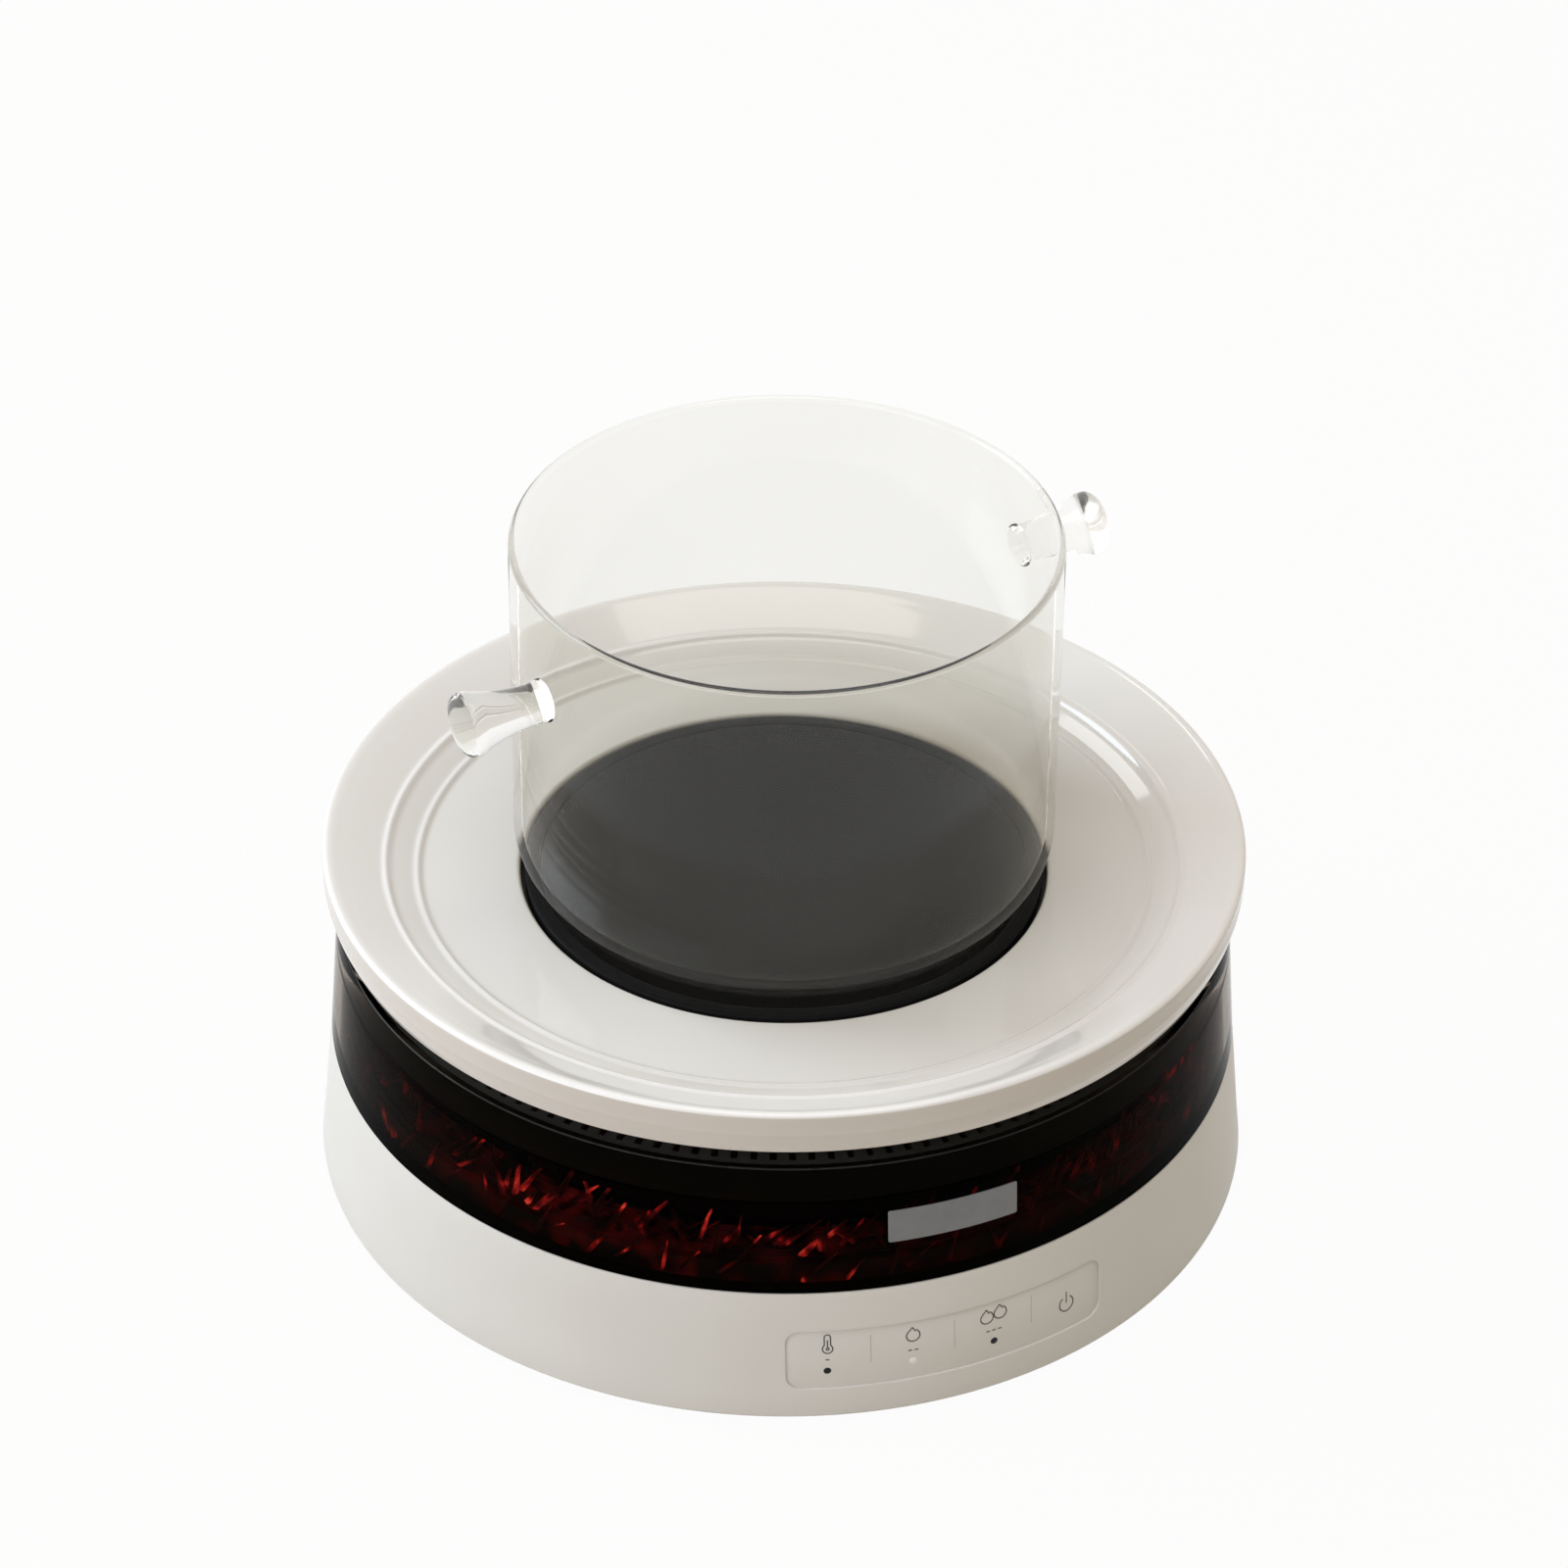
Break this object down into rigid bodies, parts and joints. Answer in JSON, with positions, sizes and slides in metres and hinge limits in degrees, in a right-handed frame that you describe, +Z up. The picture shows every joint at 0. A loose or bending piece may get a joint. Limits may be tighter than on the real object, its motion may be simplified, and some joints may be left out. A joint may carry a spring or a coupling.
{
  "type": "tabletop multicooker",
  "caption": "Round tabletop electric cooker with a clear glass pot on a radiant hob, a loose ring tray and a glowing ember band.",
  "frame": {"origin": "middle of the footprint, on the table under the rubber feet", "axes": "+Z up along the pot's axis, -Y towards the control panel, +X to the right of someone facing the panel"},
  "size_m": [0.3236, 0.3236, 0.2473],
  "materials": {
    "white_shell": "satin",
    "smoked_clear": "polished",
    "black_plastic": "fine matte",
    "fan_plastic": "matte",
    "ember_red": "translucent",
    "lamp_amber": "clear",
    "lens_clear": "polished",
    "circuit_board": "semi-gloss",
    "grey_foil": "satin",
    "sheet_steel": "zinc plated",
    "dark_steel": "heat-proof matte paint",
    "screw_steel": "zinc plated",
    "soft_rubber": "matte",
    "hob_black_glass": "polished",
    "hob_ring_grey": "satin",
    "insulation_board": "rough",
    "heating_alloy": "oxidised",
    "white_ceramic": "matte",
    "copper_winding": "enamelled",
    "relay_blue": "semi-gloss",
    "capacitor_sleeve": "semi-gloss",
    "sink_aluminium": "extruded",
    "lead_sleeve": "matte",
    "white_glaze": "glossy glaze",
    "clear_glass": "polished"
  },
  "bodies": {
    "base": {"lower_housing": "white_shell", "base_plate": "white_shell", "feet": "soft_rubber", "base_screws": "screw_steel", "control_fascia": "white_shell", "indicator_lenses": "lens_clear", "touch_board": "circuit_board", "touch_springs": "sheet_steel", "panel_screws": "screw_steel", "smoked_band": "smoked_clear", "nameplate": "grey_foil", "ember_bed": "ember_red", "lamp_board": "circuit_board", "lamps": "lamp_amber", "inner_drum": "dark_steel", "vent_deck": "black_plastic", "deck_screws": "screw_steel", "tray_pads": "soft_rubber", "hob_trim_ring": "hob_ring_grey", "hob_glass": "hob_black_glass", "hob_gasket": "soft_rubber", "heater_pan": "sheet_steel", "heater_insulation": "insulation_board", "heating_ribbon": "heating_alloy", "heat_limiter": "sheet_steel", "terminal_block": "white_ceramic", "heater_springs": "screw_steel", "heater_bridge": "sheet_steel", "bridge_screws": "screw_steel", "power_board": "circuit_board", "transformer": "copper_winding", "relay": "relay_blue", "capacitors": "capacitor_sleeve", "heat_sink": "sink_aluminium", "board_screws": "screw_steel", "fan_frame": "fan_plastic", "fan_stator": "copper_winding", "fan_screws": "screw_steel", "mains_inlet": "black_plastic", "inlet_pins": "screw_steel", "inlet_screws": "screw_steel", "heater_leads": "lead_sleeve", "inlet_leads": "lead_sleeve", "panel_lead": "lead_sleeve"},
    "fan": {"fan_impeller": "fan_plastic"},
    "tray": {"ring_tray": "white_glaze"},
    "pot": {"glass_pot": "clear_glass", "pot_handles": "clear_glass"}
  },
  "joints": [
    {"name": "tray_lift", "type": "slide", "parent": "base", "child": "tray", "axis": [0, 0, 1], "range_m": [0, 0.12]},
    {"name": "pot_lift", "type": "slide", "parent": "tray", "child": "pot", "axis": [0, 0, 1], "range_m": [0, 0.16]},
    {"name": "fan_spin", "type": "hinge", "parent": "base", "child": "fan", "pos_m": [0.062, 0.048, 0.019], "axis": [0, 0, 1], "continuous": true}
  ]
}
